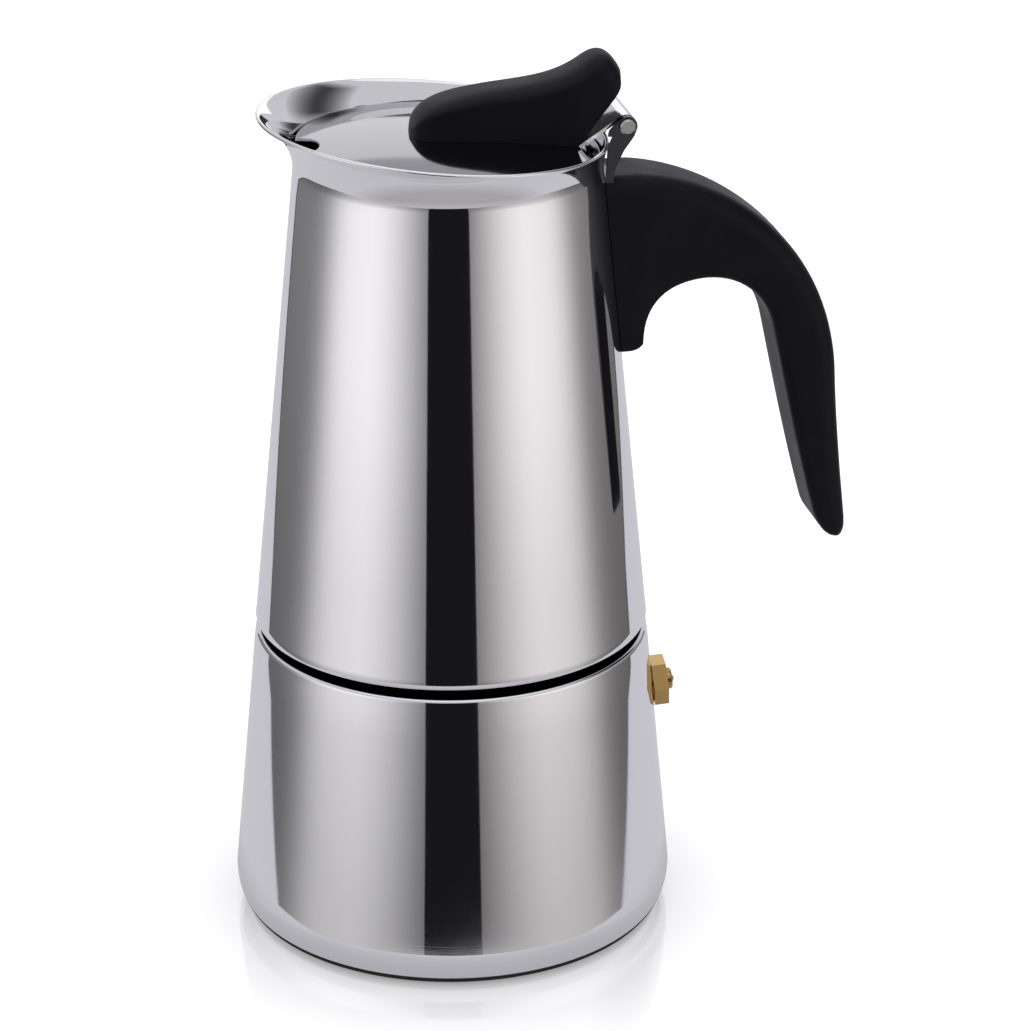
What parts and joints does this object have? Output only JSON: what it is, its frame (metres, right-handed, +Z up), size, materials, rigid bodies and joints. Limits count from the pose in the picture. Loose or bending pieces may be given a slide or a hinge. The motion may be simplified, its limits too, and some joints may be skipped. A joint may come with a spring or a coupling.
{
  "type": "moka pot",
  "caption": "Stove-top moka pot: tapered polished steel boiler and collector, black side handle, hinged lid with a thumb lever, brass safety valve.",
  "frame": {"origin": "centre of the round base, on the surface the pot stands on", "axes": "+Z up along the pot's axis, +X towards the handle, -X towards the spout side of the rim"},
  "size_m": [0.1406, 0.1, 0.1995],
  "materials": {
    "polished_steel": "mirror-polished stainless steel",
    "satin_steel": "satin stainless steel",
    "hardware_steel": "bright stainless steel",
    "black_plastic": "satin black heat-resisting plastic",
    "brass": "machined brass",
    "silicone": "off-white silicone",
    "fibre": "red fibre washer"
  },
  "bodies": {
    "boiler": {"boiler": "polished_steel", "valve_body": "brass", "valve_washer": "fibre", "valve_nut": "brass", "valve_spring": "hardware_steel", "valve_cap": "brass"},
    "valve": {"valve_plunger": "satin_steel"},
    "funnel": {"funnel": "satin_steel", "funnel_floor": "satin_steel"},
    "plate": {"filter_plate": "satin_steel"},
    "seal": {"seal_ring": "silicone"},
    "collector": {"collector_wall": "polished_steel", "collector_base": "satin_steel", "column": "satin_steel", "column_cap": "satin_steel", "handle_bracket": "hardware_steel", "handle": "black_plastic", "handle_screw": "hardware_steel", "hinge_pin": "hardware_steel"},
    "lid": {"lid_disc": "polished_steel", "lid_strap": "hardware_steel", "thumb_lever": "black_plastic", "lever_screw": "hardware_steel"}
  },
  "joints": [
    {"name": "collector_lift", "type": "slide", "parent": "boiler", "child": "plate", "axis": [0, 0, 1], "range_m": [0, 0.16]},
    {"name": "thread_rise", "type": "slide", "parent": "plate", "child": "seal", "axis": [0, 0, 1], "range_m": [0, 0.00337]},
    {"name": "collector_turn", "type": "hinge", "parent": "seal", "child": "collector", "pos_m": [0, 0, 0.075], "axis": [0, 0, 1], "range_deg": [0, 540]},
    {"name": "lid_hinge", "type": "hinge", "parent": "collector", "child": "lid", "pos_m": [0.0378, 0, 0.1845], "axis": [0, 1, 0], "range_deg": [0, 100]},
    {"name": "funnel_lift", "type": "slide", "parent": "boiler", "child": "funnel", "axis": [0, 0, 1], "range_m": [0, 0.08]},
    {"name": "valve_plunger_slide", "type": "slide", "parent": "boiler", "child": "valve", "axis": [0.9901, -0.1041, 0.0946], "range_m": [0, 0.0012], "stiffness_N_per_m": 800, "deforming": ["valve_spring"]}
  ],
  "couplings": [
    {"joint": "thread_rise", "follows": "collector_turn", "m_per_rad": 0.0003581},
    {"joint": "funnel_lift", "follows": "collector_lift", "ratio": 0.5}
  ]
}
